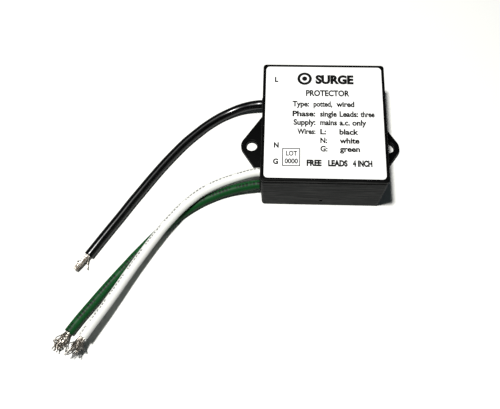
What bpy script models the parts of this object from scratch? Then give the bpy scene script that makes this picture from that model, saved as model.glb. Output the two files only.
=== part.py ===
"""Potted surge protection module with two mounting ears and three flying leads.

The module stands on Z = 0 with its label up. X runs along the label's width, from
the lead side (-X) to the far ear (+X). Y runs from the front wall (-Y) to the back.
Lengths are written in millimetres and multiplied by MM, so the scene is in metres.
"""
import math

import bmesh
import bpy
from mathutils import Matrix, Vector

MM = 0.001
GAP = 0.3  # clearance between pieces that touch

# Case
BODY_WIDTH = 46.0
BODY_DEPTH = 49.0
BODY_HEIGHT = 23.3
DRAFT = math.radians(0.5)  # the walls lean in towards the base
WALL = 1.8
FLOOR = 1.5
CORNER_RADIUS = 1.2
BASE_RADIUS = 0.7
GATE_X = 0.0  # the moulding gate's mark on the front wall
GATE_HEIGHT = 4.6
GATE_RADIUS = 0.6

# Mounting ears
EAR_PITCH = 54.8
EAR_TIP_RADIUS = 4.3
EAR_ROOT = 16.8  # half of an ear's length at the wall's inner face
EAR_BOTTOM = 0.2  # the base seats before the ears do
EAR_TOP = 2.4
EAR_HOLE_RADIUS = 2.25
EAR_HOLE_CHAMFER = 0.3

# Top cover and label
COVER_THICKNESS = 1.8
COVER_EDGE_RADIUS = 0.45
SEAM_CHAMFER = 0.3
LIP_DEPTH = 0.8
LIP_THICKNESS = 1.2
LABEL_BORDER = 1.15
LABEL_RADIUS = 1.4
LABEL_THICKNESS = 0.2
LABEL_TOP = BODY_HEIGHT - 0.05

# Leads
LEAD_DIAMETER = 3.6
LEAD_EXIT_HEIGHT = 4.8
BOSS_ROOT_RADIUS = 3.5
BOSS_RIM_RADIUS = 2.55
BOSS_LENGTH = 0.8
TAIL_END = -13.6
CORE_RADIUS = 0.8
CORE_END = -6.5
CORE_HEIGHT = 5.1
STRAND_RADIUS = 1.15
STRAND_LENGTH = 8.0
STRAND_DROP = 0.6  # how far a lead's strands come down towards their tips
STRAIGHT_START = 0.8  # each lead leaves its boss square to the wall
POINT_STEP = 2.0  # diameters from one point of a lead to the next

# Circuit board
BOARD_THICKNESS = 1.6
BOARD_BOTTOM = 2.3
BOARD_TOP = BOARD_BOTTOM + BOARD_THICKNESS
BOARD_LEFT = -13.0
BOARD_RIGHT = 20.4
BOARD_DEPTH = 43.4
POST_RADIUS = 1.6
PIN_RADIUS = 0.45
PIN_HOLE_RADIUS = 0.8
PIN_BOTTOM = FLOOR + GAP

# Varistor discs and their thermal cut-offs
DISC_RADIUS = 7.6
DISC_THICKNESS = 7.4
DISC_X = 9.0
DISC_ROW = (-16.2, -2.7, 10.8)
DISC_CENTRE_HEIGHT = BOARD_TOP + GAP + DISC_RADIUS
DISC_PIN_SPACING = 7.5
CUTOFF_RADIUS = 2.0
CUTOFF_LENGTH = 9.0
CUTOFF_OFFSET = 6.2  # from a disc's middle plane to its cut-off
CUTOFF_HEIGHT = 9.0
CUTOFF_PIN_SPACING = 12.4

# Potting
POTTING_TOP = BODY_HEIGHT - COVER_THICKNESS - LIP_DEPTH - 2.0 * GAP

# The routes of the leads from the case outwards: (x, y, height of the middle)
REST = 1.85  # height of a lead's middle where it lies on the table
ROUTES = {
    "line": [
        (-28.7, 17.3, 4.1), (-32.9, 16.5, 3.1), (-37.1, 14.9, 2.3), (-41.2, 12.7, 1.95),
        (-45.2, 9.8, REST), (-48.1, 7.3, REST), (-53.8, 1.7, REST), (-58.5, -3.9, REST),
        (-62.7, -9.4, REST), (-66.5, -14.8, REST), (-70.1, -20.2, REST), (-73.7, -25.6, REST),
        (-77.3, -31.3, REST), (-80.9, -36.8, REST), (-84.5, -42.4, REST), (-87.8, -47.6, REST),
    ],
    "neutral": [
        (-27.6, -13.7, 4.9), (-31.3, -15.0, 5.1), (-35.3, -16.5, 5.3), (-39.1, -18.2, 5.5),
        (-43.0, -20.3, 5.7), (-46.7, -22.8, 5.8), (-50.2, -25.9, 5.8), (-53.8, -29.6, 5.8),
        (-56.7, -33.2, 5.8), (-59.5, -36.9, 5.7), (-61.9, -40.5, 5.6), (-64.3, -44.2, 5.5),
        (-66.5, -47.8, 5.5), (-68.6, -51.3, 5.6), (-70.6, -54.8, 5.7), (-72.5, -58.2, 5.9),
        (-74.3, -61.6, 6.1), (-76.2, -65.0, 6.3), (-78.1, -68.4, 6.6), (-80.1, -71.8, 6.9),
        (-82.1, -75.2, 7.1), (-84.3, -79.0, 7.3),
    ],
    "ground": [
        (-27.5, -18.5, 4.3), (-31.4, -19.1, 3.4), (-35.4, -20.0, 2.7), (-39.3, -21.3, 2.2),
        (-43.1, -23.0, 1.9), (-46.5, -24.8, REST), (-50.3, -27.3, REST), (-53.5, -29.8, REST),
        (-56.4, -32.3, REST), (-59.1, -34.9, REST), (-61.5, -37.5, REST), (-64.4, -40.8, REST),
        (-67.3, -44.3, REST), (-70.2, -47.8, REST), (-72.9, -51.3, REST), (-75.6, -54.8, REST),
        (-78.3, -58.3, REST), (-80.9, -61.8, REST), (-83.4, -65.3, REST), (-85.9, -68.8, REST),
        (-88.5, -72.5, REST), (-91.2, -76.7, REST),
    ],
}
EXIT_Y = {"line": 17.6, "neutral": -13.0, "ground": -18.2}

# Colours: (red, green, blue), roughness, metallic
FINISHES = {
    "case_plastic": ((0.022, 0.022, 0.023), 0.55, 0.0),
    "label_film": ((0.86, 0.86, 0.85), 0.45, 0.0),
    "board_laminate": ((0.03, 0.16, 0.07), 0.5, 0.0),
    "disc_coating": ((0.05, 0.14, 0.42), 0.4, 0.0),
    "cutoff_body": ((0.75, 0.68, 0.52), 0.5, 0.0),
    "potting": ((0.03, 0.03, 0.03), 0.35, 0.0),
    "line_insulation": ((0.012, 0.012, 0.012), 0.3, 0.0),
    "neutral_insulation": ((0.85, 0.85, 0.8), 0.35, 0.0),
    "ground_insulation": ((0.012, 0.12, 0.035), 0.35, 0.0),
    "tinned_copper": ((0.72, 0.68, 0.62), 0.3, 1.0),
}


def clear_scene():
    """Remove every object that is in the file."""
    for item in list(bpy.data.objects):
        bpy.data.objects.remove(item, do_unlink=True)


def new_collection(name, hidden=False):
    """Return a new collection linked to the scene."""
    collection = bpy.data.collections.new(name)
    bpy.context.scene.collection.children.link(collection)
    collection.hide_render = hidden
    return collection


def finish(name):
    """Return the material of that name, made from FINISHES the first time."""
    if name in bpy.data.materials:
        return bpy.data.materials[name]
    colour, roughness, metallic = FINISHES[name]
    material = bpy.data.materials.new(name)
    material.use_nodes = True
    shader = material.node_tree.nodes["Principled BSDF"]
    shader.inputs["Base Color"].default_value = (*colour, 1.0)
    shader.inputs["Roughness"].default_value = roughness
    shader.inputs["Metallic"].default_value = metallic
    return material


def place(bm, name, location=(0.0, 0.0, 0.0), finish_name=None):
    """Turn a bmesh drawn in millimetres into an object; without a finish it is a cutter."""
    bmesh.ops.scale(bm, vec=(MM, MM, MM), verts=bm.verts)
    mesh = bpy.data.meshes.new(name)
    bm.to_mesh(mesh)
    bm.free()
    item = bpy.data.objects.new(name, mesh)
    item.location = Vector(location) * MM
    return file_away(item, finish_name)


def file_away(item, finish_name):
    """Put a piece in the part's collection, or a cutter in the hidden one."""
    if finish_name is None:
        CUTTERS.objects.link(item)
        item.hide_render = True
        item.display_type = "WIRE"
        return item
    PARTS.objects.link(item)
    item.data.materials.append(finish(finish_name))
    item.data.shade_smooth()
    item.data.set_sharp_from_angle(angle=math.radians(35.0))
    return item


def combine(target, tool, operation):
    """Add a Boolean modifier to a piece; the operation is DIFFERENCE or UNION."""
    modifier = target.modifiers.new(tool.name, "BOOLEAN")
    modifier.operation = operation
    modifier.solver = "EXACT"
    modifier.object = tool


def block(width, depth, bottom, top, corner=0.0, top_edge=0.0, bottom_edge=0.0, draft=0.0):
    """Return a bmesh block that stands from bottom to top with its sides rounded.

    width and depth are measured at the top; draft narrows the block downwards.
    """
    bm = bmesh.new()
    bmesh.ops.create_cube(bm, size=1.0)
    shrink = (top - bottom) * math.tan(draft)
    for vert in bm.verts:
        narrower = 0.0 if vert.co.z > 0.0 else shrink
        vert.co.x = math.copysign(width / 2.0 - narrower, vert.co.x)
        vert.co.y = math.copysign(depth / 2.0 - narrower, vert.co.y)
        vert.co.z = top if vert.co.z > 0.0 else bottom
    if corner:
        upright = [edge for edge in bm.edges if abs(edge.verts[0].co.z - edge.verts[1].co.z) > 1e-6]
        bmesh.ops.bevel(bm, geom=upright, offset=corner, segments=5, affect="EDGES", profile=0.5)
    for height, radius in ((top, top_edge), (bottom, bottom_edge)):
        if radius:
            ring = [edge for edge in bm.edges if all(abs(v.co.z - height) < 1e-6 for v in edge.verts)]
            bmesh.ops.bevel(bm, geom=ring, offset=radius, segments=3, affect="EDGES", profile=0.5)
    return bm


def rod(radius, start, end, segments=32, end_radius=None):
    """Return a bmesh cylinder, or a cone when end_radius is given, from start to end."""
    along = Vector(end) - Vector(start)
    turn = along.to_track_quat("Z", "Y").to_matrix().to_4x4()
    bm = bmesh.new()
    bmesh.ops.create_cone(
        bm, cap_ends=True, segments=segments, radius1=radius,
        radius2=radius if end_radius is None else end_radius, depth=along.length,
        matrix=Matrix.Translation((Vector(start) + Vector(end)) / 2.0) @ turn)
    return bm


def mesh_from_curve(curve, name):
    """Return a curve's mesh as an object, caps welded and flats whole, and remove the curve."""
    bpy.context.view_layer.update()
    evaluated = curve.evaluated_get(bpy.context.evaluated_depsgraph_get())
    mesh = bpy.data.meshes.new_from_object(evaluated)
    bm = bmesh.new()
    bm.from_mesh(mesh)
    bmesh.ops.remove_doubles(bm, verts=bm.verts, dist=0.001 * MM)
    bmesh.ops.dissolve_limit(bm, angle_limit=math.radians(0.5), verts=bm.verts, edges=bm.edges)
    bm.to_mesh(mesh)
    bm.free()
    item = bpy.data.objects.new(name, mesh)
    item.matrix_world = curve.matrix_world
    bpy.data.objects.remove(curve, do_unlink=True)
    return item


def tube(name, points, radius, resolution, finish_name=None):
    """Return a round wire along points, as a curve for a piece or a mesh for a cutter."""
    data = bpy.data.curves.new(name, "CURVE")
    data.dimensions = "3D"
    data.bevel_depth = radius * MM
    data.bevel_resolution = resolution
    data.use_fill_caps = True
    spline = data.splines.new("POLY")
    spline.points.add(len(points) - 1)
    for knot, point in zip(spline.points, points):
        knot.co = (*(Vector(point) * MM), 1.0)
    item = bpy.data.objects.new(name, data)
    if finish_name:
        PARTS.objects.link(item)
        data.materials.append(finish(finish_name))
        return item
    CUTTERS.objects.link(item)
    return file_away(mesh_from_curve(item, name), None)


def case_width_at(height):
    """Return the case's half width at a height above the base."""
    return BODY_WIDTH / 2.0 - (BODY_HEIGHT - height) * math.tan(DRAFT)


def boss_face():
    """Return the X of the outer face of the lead bosses."""
    return -case_width_at(LEAD_EXIT_HEIGHT) - BOSS_LENGTH


def ear_plate():
    """Return the flat plate that makes both ears, tapering to a round tip at each end."""
    centre = EAR_PITCH / 2.0
    inner = BODY_WIDTH / 2.0 - WALL
    root = Vector((inner - centre, EAR_ROOT))
    tangent = root.angle(Vector((1.0, 0.0))) - math.acos(EAR_TIP_RADIUS / root.length)
    steps = 12
    tip = []
    for step in range(steps + 1):
        angle = tangent - 2.0 * tangent * step / steps
        tip.append((centre + EAR_TIP_RADIUS * math.cos(angle), EAR_TIP_RADIUS * math.sin(angle)))
    right = [(inner, EAR_ROOT)] + tip + [(inner, -EAR_ROOT)]
    outline = right + [(-x, -y) for x, y in right]
    data = bpy.data.curves.new("ear_plate", "CURVE")
    data.dimensions = "2D"
    data.fill_mode = "BOTH"
    data.extrude = (EAR_TOP - EAR_BOTTOM) / 2.0 * MM
    spline = data.splines.new("POLY")
    spline.points.add(len(outline) - 1)
    spline.use_cyclic_u = True
    for knot, (x, y) in zip(spline.points, outline):
        knot.co = (x * MM, y * MM, 0.0, 1.0)
    curve = bpy.data.objects.new("ear_plate", data)
    curve.location.z = (EAR_TOP + EAR_BOTTOM) / 2.0 * MM
    CUTTERS.objects.link(curve)
    return file_away(mesh_from_curve(curve, "ear_plate"), None)


def build_case():
    """Build the tub: walls, floor, ears, lead bosses and the posts under the board."""
    seam = BODY_HEIGHT - COVER_THICKNESS - GAP
    lost = 2.0 * (BODY_HEIGHT - seam) * math.tan(DRAFT)
    shell = block(BODY_WIDTH - lost, BODY_DEPTH - lost, 0.0, seam, CORNER_RADIUS, SEAM_CHAMFER,
                  BASE_RADIUS, DRAFT)
    case = place(shell, "case_tub", finish_name="case_plastic")
    combine(case, ear_plate(), "UNION")
    wall_x = case_width_at(LEAD_EXIT_HEIGHT)
    for name, y in EXIT_Y.items():
        root = (1.0 - wall_x, y, LEAD_EXIT_HEIGHT)
        rim = (boss_face(), y, LEAD_EXIT_HEIGHT)
        boss = rod(BOSS_ROOT_RADIUS, root, rim, end_radius=BOSS_RIM_RADIUS)
        combine(case, place(boss, f"boss_{name}"), "UNION")
    hollow = block(BODY_WIDTH - 2.0 * WALL, BODY_DEPTH - 2.0 * WALL, FLOOR, BODY_HEIGHT, 1.0,
                   draft=DRAFT)
    combine(case, place(hollow, "case_hollow"), "DIFFERENCE")
    for x in (BOARD_LEFT + 3.0, BOARD_RIGHT - 3.0):
        for y in (-BOARD_DEPTH / 2.0 + 2.5, BOARD_DEPTH / 2.0 - 2.5):
            post = rod(POST_RADIUS, (x, y, FLOOR / 2.0), (x, y, BOARD_BOTTOM - GAP), 24)
            combine(case, place(post, "board_post"), "UNION")
    for name, y in EXIT_Y.items():
        inside = (3.0 - wall_x, y, LEAD_EXIT_HEIGHT)
        outside = (boss_face() - 1.0, y, LEAD_EXIT_HEIGHT)
        hole = rod(LEAD_DIAMETER / 2.0 + GAP, inside, outside)
        combine(case, place(hole, f"lead_hole_{name}"), "DIFFERENCE")
    for x in (-EAR_PITCH / 2.0, EAR_PITCH / 2.0):
        mouth = EAR_HOLE_RADIUS + EAR_HOLE_CHAMFER + 1.0
        profile = [(0.0, EAR_TOP + 1.0), (mouth, EAR_TOP + 1.0),
                   (EAR_HOLE_RADIUS, EAR_TOP - EAR_HOLE_CHAMFER), (EAR_HOLE_RADIUS, -1.0), (0.0, -1.0)]
        combine(case, turned("ear_hole", profile, (0.0, 0.0, 0.0), (x, 0.0, 0.0), None), "DIFFERENCE")
    front = -BODY_DEPTH / 2.0
    gate = rod(GATE_RADIUS, (GATE_X, front - 1.0, GATE_HEIGHT), (GATE_X, front + 0.6, GATE_HEIGHT), 16)
    combine(case, place(gate, "gate_mark"), "DIFFERENCE")


def build_cover():
    """Build the top cover with its locating lip and the recess that takes the label."""
    bottom = BODY_HEIGHT - COVER_THICKNESS
    plate = block(BODY_WIDTH, BODY_DEPTH, bottom, BODY_HEIGHT, CORNER_RADIUS, COVER_EDGE_RADIUS,
                  SEAM_CHAMFER)
    cover = place(plate, "top_cover", finish_name="case_plastic")
    inner_width = BODY_WIDTH - 2.0 * (WALL + 2.0 * GAP)
    inner_depth = BODY_DEPTH - 2.0 * (WALL + 2.0 * GAP)
    rim = block(inner_width, inner_depth, bottom - GAP - LIP_DEPTH, bottom + 0.5, 0.8)
    lip = place(rim, "cover_lip")
    inside = block(inner_width - 2.0 * LIP_THICKNESS, inner_depth - 2.0 * LIP_THICKNESS, 0.0, bottom)
    combine(lip, place(inside, "cover_lip_inside"), "DIFFERENCE")
    combine(cover, lip, "UNION")
    recess = block(BODY_WIDTH - 2.0 * (LABEL_BORDER - GAP), BODY_DEPTH - 2.0 * (LABEL_BORDER - GAP),
                   LABEL_TOP - LABEL_THICKNESS - GAP, BODY_HEIGHT + 1.0, LABEL_RADIUS + GAP)
    combine(cover, place(recess, "label_recess"), "DIFFERENCE")


def build_label():
    """Build the rating label that lies in the cover's recess."""
    label = block(BODY_WIDTH - 2.0 * LABEL_BORDER, BODY_DEPTH - 2.0 * LABEL_BORDER,
                  LABEL_TOP - LABEL_THICKNESS, LABEL_TOP, LABEL_RADIUS)
    place(label, "rating_label", finish_name="label_film")


def disc_pins(y):
    """Return where a disc's two pins go through the board."""
    return [(DISC_X - DISC_PIN_SPACING / 2.0, y), (DISC_X + DISC_PIN_SPACING / 2.0, y)]


def cutoff_pins(y):
    """Return where a thermal cut-off's two pins go through the board."""
    return [(DISC_X - CUTOFF_PIN_SPACING / 2.0, y), (DISC_X + CUTOFF_PIN_SPACING / 2.0, y)]


def build_board():
    """Build the circuit board with a hole for each pin."""
    width = BOARD_RIGHT - BOARD_LEFT
    sheet = block(width, BOARD_DEPTH, BOARD_BOTTOM, BOARD_TOP, 0.8)
    bmesh.ops.translate(sheet, verts=sheet.verts, vec=((BOARD_LEFT + BOARD_RIGHT) / 2.0, 0.0, 0.0))
    board = place(sheet, "circuit_board", finish_name="board_laminate")
    for row_y in DISC_ROW:
        for x, y in disc_pins(row_y) + cutoff_pins(row_y + CUTOFF_OFFSET):
            hole = rod(PIN_HOLE_RADIUS, (x, y, BOARD_BOTTOM - 1.0), (x, y, BOARD_TOP + 1.0), 12)
            combine(board, place(hole, "pin_hole"), "DIFFERENCE")


def turned(name, profile, axis_turn, location, finish_name, steps=32):
    """Return a body turned from a profile of (radius, height) points, listed top to bottom."""
    mesh = bpy.data.meshes.new(name)
    points = [(radius * MM, 0.0, height * MM) for radius, height in profile]
    mesh.from_pydata(points, [(i, i + 1) for i in range(len(points) - 1)], [])
    item = bpy.data.objects.new(name, mesh)
    item.rotation_euler = axis_turn
    item.location = Vector(location) * MM
    screw = item.modifiers.new("turn", "SCREW")
    screw.steps = steps
    screw.render_steps = steps
    screw.use_merge_vertices = True
    screw.merge_threshold = 0.00001
    return file_away(item, finish_name)


def pill_profile(radius, half_height, edge, steps=4):
    """Return a cylinder's profile from its top centre to its bottom centre, edges rounded."""
    points = [(0.0, half_height)]
    for step in range(steps + 1):
        angle = math.pi / 2.0 * (1.0 - step / steps)
        out, up = edge * math.cos(angle), edge * math.sin(angle)
        points.append((radius - edge + out, half_height - edge + up))
    return points + [(r, -h) for r, h in reversed(points)]


def build_varistor(name, y):
    """Build one coated varistor disc standing on its two pins."""
    disc = turned(name, pill_profile(DISC_RADIUS, DISC_THICKNESS / 2.0, 1.6),
                  (math.pi / 2.0, 0.0, 0.0), (DISC_X, y, DISC_CENTRE_HEIGHT), "disc_coating")
    for x, pin_y in disc_pins(y):
        pin = rod(PIN_RADIUS, (x, pin_y, PIN_BOTTOM), (x, pin_y, DISC_CENTRE_HEIGHT - 2.0), 10)
        combine(disc, place(pin, f"{name}_pin"), "UNION")


def build_cutoff(name, y):
    """Build one thermal cut-off lying beside its disc, with both leads bent down."""
    body = turned(name, pill_profile(CUTOFF_RADIUS, CUTOFF_LENGTH / 2.0, 0.6, 3),
                  (0.0, math.pi / 2.0, 0.0), (DISC_X, y, CUTOFF_HEIGHT), "cutoff_body", 20)
    reach = CUTOFF_PIN_SPACING / 2.0
    bend = 0.6
    points = [(-reach, 0.0, PIN_BOTTOM), (-reach, 0.0, CUTOFF_HEIGHT - bend),
              (bend - reach, 0.0, CUTOFF_HEIGHT), (reach - bend, 0.0, CUTOFF_HEIGHT),
              (reach, 0.0, CUTOFF_HEIGHT - bend), (reach, 0.0, PIN_BOTTOM)]
    wire = tube(f"{name}_wire", [(DISC_X + px, y, pz) for px, _, pz in points], PIN_RADIUS, 1)
    combine(body, wire, "UNION")


def smooth_route(points, step):
    """Return points a step apart on a smooth curve through the route's own points."""
    knots = [Vector(point) for point in points]
    first = knots[0] * 2.0 - knots[1]
    last = knots[-1] * 2.0 - knots[-2]
    padded = [first] + knots + [last]
    dense = []
    for before, start, end, after in zip(padded, padded[1:], padded[2:], padded[3:]):
        for part in range(20):
            t = part / 20.0
            dense.append(0.5 * (2.0 * start + (end - before) * t
                                + (2.0 * before - 5.0 * start + 4.0 * end - after) * t * t
                                + (3.0 * start - before - 3.0 * end + after) * t ** 3))
    dense.append(knots[-1])
    total = sum((b - a).length for a, b in zip(dense, dense[1:]))
    count = max(2, round(total / step))
    spaced = [dense[0]]
    travelled = 0.0
    for a, b in zip(dense, dense[1:]):
        travelled += (b - a).length
        if travelled >= total * len(spaced) / count and len(spaced) < count:
            spaced.append(b)
    return spaced + [dense[-1]]


def build_lead(name):
    """Build one lead: tail, inner core, outer jacket and the stripped strands at its end."""
    y = EXIT_Y[name]
    radius = LEAD_DIAMETER / 2.0
    insulation = f"{name}_insulation"
    face = boss_face()
    tail = [(TAIL_END, y, LEAD_EXIT_HEIGHT), (face, y, LEAD_EXIT_HEIGHT)]
    tube(f"{name}_lead_tail", tail, radius, 3, insulation)
    core = [(TAIL_END + GAP, y, CORE_HEIGHT), (CORE_END, y, CORE_HEIGHT)]
    tube(f"{name}_lead_core", core, CORE_RADIUS, 2, "tinned_copper")
    start = Vector((face - GAP, y, LEAD_EXIT_HEIGHT))
    route = [start + Vector((-STRAIGHT_START, 0.0, 0.0))] + ROUTES[name]
    spaced = smooth_route(route, POINT_STEP * LEAD_DIAMETER)
    tube(f"{name}_lead_jacket", [start] + spaced, radius, 3, insulation)
    end = Vector(route[-1])
    heading = (end - Vector(route[-2])).normalized()
    tip_drop = Vector((0.0, 0.0, STRAND_DROP))
    strands = [end + heading * GAP, end + heading * STRAND_LENGTH * 0.5 - tip_drop * 0.5,
               end + heading * STRAND_LENGTH - tip_drop]
    tube(f"{name}_lead_strands", strands, STRAND_RADIUS, 2, "tinned_copper")


def pocket(name, y):
    """Return cutters that leave room for one disc and its cut-off, open to the board side."""
    low = BOARD_TOP - 1.0
    radius = DISC_RADIUS + GAP
    half = DISC_THICKNESS / 2.0 + GAP
    arch = rod(radius, (DISC_X, y - half, DISC_CENTRE_HEIGHT), (DISC_X, y + half, DISC_CENTRE_HEIGHT))
    slot = block(2.0 * radius, 2.0 * half, low, DISC_CENTRE_HEIGHT)
    bmesh.ops.translate(slot, verts=slot.verts, vec=(DISC_X, y, 0.0))
    side = CUTOFF_RADIUS + GAP
    trough = block(CUTOFF_PIN_SPACING + 2.0 * (PIN_RADIUS + GAP), 2.0 * side, low, CUTOFF_HEIGHT + side)
    bmesh.ops.translate(trough, verts=trough.verts, vec=(DISC_X, y + CUTOFF_OFFSET, 0.0))
    return [place(arch, f"{name}_arch"), place(slot, f"{name}_slot"), place(trough, f"{name}_trough")]


def build_potting():
    """Build the cast potting that fills the case above the board and around the lead tails."""
    shrink = WALL + GAP + (BODY_HEIGHT - FLOOR) * math.tan(DRAFT)
    width = BODY_WIDTH - 2.0 * shrink
    depth = BODY_DEPTH - 2.0 * shrink
    potting = place(block(width, depth, FLOOR + GAP, POTTING_TOP, 0.8), "potting_compound",
                    finish_name="potting")
    room = block(width, depth + 2.0, 0.0, BOARD_TOP + GAP)
    bmesh.ops.translate(room, verts=room.verts, vec=(BOARD_LEFT - GAP + width / 2.0, 0.0, 0.0))
    combine(potting, place(room, "board_room"), "DIFFERENCE")
    for row_y in DISC_ROW:
        for cutter in pocket("disc", row_y):
            combine(potting, cutter, "DIFFERENCE")
    for name, y in EXIT_Y.items():
        mouth = (-BODY_WIDTH, y, LEAD_EXIT_HEIGHT)
        tunnel = rod(LEAD_DIAMETER / 2.0 + GAP, (TAIL_END + 1.0, y, LEAD_EXIT_HEIGHT), mouth)
        combine(potting, place(tunnel, f"tail_tunnel_{name}"), "DIFFERENCE")
        ceiling = CORE_HEIGHT + CORE_RADIUS + GAP
        slot = block(CORE_END - TAIL_END + 1.0, 2.0 * (CORE_RADIUS + GAP), 0.0, ceiling)
        bmesh.ops.translate(slot, verts=slot.verts, vec=((CORE_END + TAIL_END + 1.0) / 2.0, y, 0.0))
        combine(potting, place(slot, f"core_slot_{name}"), "DIFFERENCE")


clear_scene()
PARTS = new_collection("surge_protection_module")
CUTTERS = new_collection("cutters", hidden=True)
build_case()
build_cover()
build_label()
build_board()
for disc_name, disc_y in zip(("line_neutral", "line_ground", "neutral_ground"), DISC_ROW):
    build_varistor(f"varistor_{disc_name}", disc_y)
    build_cutoff(f"thermal_cutoff_{disc_name}", disc_y + CUTOFF_OFFSET)
for lead_name in EXIT_Y:
    build_lead(lead_name)
build_potting()
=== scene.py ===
"""Looks of a potted surge protection module with two ears and three flying leads.

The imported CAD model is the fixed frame. The label and the inner pieces keep their CAD
shapes and get their finishes here. The case and its cover are the CAD shapes with their
crisp edges rounded. The jackets and the bare strands of the leads are modelled finely in
place of their plain solids. Sizes given in millimetres are multiplied by MM where they are
used; all others are in metres, radians or the shader's own units.
"""
import logging
import math
import random
from dataclasses import dataclass
from enum import Enum
from typing import Any

import bmesh
import bpy
from mathutils import Matrix, Vector, noise


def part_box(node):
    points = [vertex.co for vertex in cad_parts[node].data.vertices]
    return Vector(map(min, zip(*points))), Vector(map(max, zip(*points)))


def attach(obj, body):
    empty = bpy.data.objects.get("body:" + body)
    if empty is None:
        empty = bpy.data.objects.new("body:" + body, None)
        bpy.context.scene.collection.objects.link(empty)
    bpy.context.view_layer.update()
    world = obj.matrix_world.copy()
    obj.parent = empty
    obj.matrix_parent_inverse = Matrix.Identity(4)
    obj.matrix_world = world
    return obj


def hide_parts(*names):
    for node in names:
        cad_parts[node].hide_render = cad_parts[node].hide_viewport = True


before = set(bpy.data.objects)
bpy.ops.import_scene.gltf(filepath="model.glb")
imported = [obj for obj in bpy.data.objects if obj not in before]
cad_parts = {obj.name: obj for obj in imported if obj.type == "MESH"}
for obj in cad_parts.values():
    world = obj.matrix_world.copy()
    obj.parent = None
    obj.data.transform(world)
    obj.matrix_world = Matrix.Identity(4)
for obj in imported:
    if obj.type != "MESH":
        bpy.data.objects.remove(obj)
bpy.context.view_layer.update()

MM = 0.001
BODY = "root"
TUBE_MAP = "tube_map"
MIX_SHARE, MIX_BELOW, MIX_ABOVE, MIX_RESULT = 0, 6, 7, 2
LOG = logging.getLogger("surge_module")
Triple = tuple[float, float, float]
Outline = list[tuple[float, float]]
Colour = tuple[float, float, float]


# ---- shader graphs


class Socket:
    """An output socket of a shader graph, which can be used in sums."""

    def __init__(self, graph: "Graph", link: bpy.types.NodeSocket) -> None:
        """Keep the graph and the socket."""
        self.graph = graph
        self.link = link

    def maths(self, operation: str, *values: "Socket | float") -> "Socket":
        """Add one Math node.

        Args:
            operation: The Math node's operation.
            *values: Its inputs in order, as sockets or numbers.

        Returns:
            The node's output.
        """
        return self.graph.add("ShaderNodeMath", {"operation": operation}, dict(enumerate(values)))

    def __add__(self, other: "Socket | float") -> "Socket":
        """Return self + other."""
        return self.maths("ADD", self, other)

    def __radd__(self, other: float) -> "Socket":
        """Return other + self."""
        return self.maths("ADD", other, self)

    def __sub__(self, other: "Socket | float") -> "Socket":
        """Return self - other."""
        return self.maths("SUBTRACT", self, other)

    def __rsub__(self, other: float) -> "Socket":
        """Return other - self."""
        return self.maths("SUBTRACT", other, self)

    def __mul__(self, other: "Socket | float") -> "Socket":
        """Return self * other."""
        return self.maths("MULTIPLY", self, other)

    def __rmul__(self, other: float) -> "Socket":
        """Return other * self."""
        return self.maths("MULTIPLY", other, self)

    def __truediv__(self, other: "Socket | float") -> "Socket":
        """Return self / other."""
        return self.maths("DIVIDE", self, other)

    def __rtruediv__(self, other: float) -> "Socket":
        """Return other / self."""
        return self.maths("DIVIDE", other, self)

    def __abs__(self) -> "Socket":
        """Return the distance from nought."""
        return self.maths("ABSOLUTE", self)

    def __lt__(self, other: "Socket | float") -> "Socket":
        """Return 1 where self is below other."""
        return self.maths("LESS_THAN", self, other)

    def __gt__(self, other: "Socket | float") -> "Socket":
        """Return 1 where self is above other."""
        return self.maths("GREATER_THAN", self, other)

    def part(self) -> "Socket":
        """Return the part after the decimal point."""
        return self.maths("FRACT", self)

    def spread(self, low: float, high: float) -> "Socket":
        """Return 0 at low and 1 at high, with a soft step between them."""
        settings = {"interpolation_type": "SMOOTHSTEP"}
        return self.graph.add("ShaderNodeMapRange", settings, {"Value": self, 1: low, 2: high})


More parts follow.
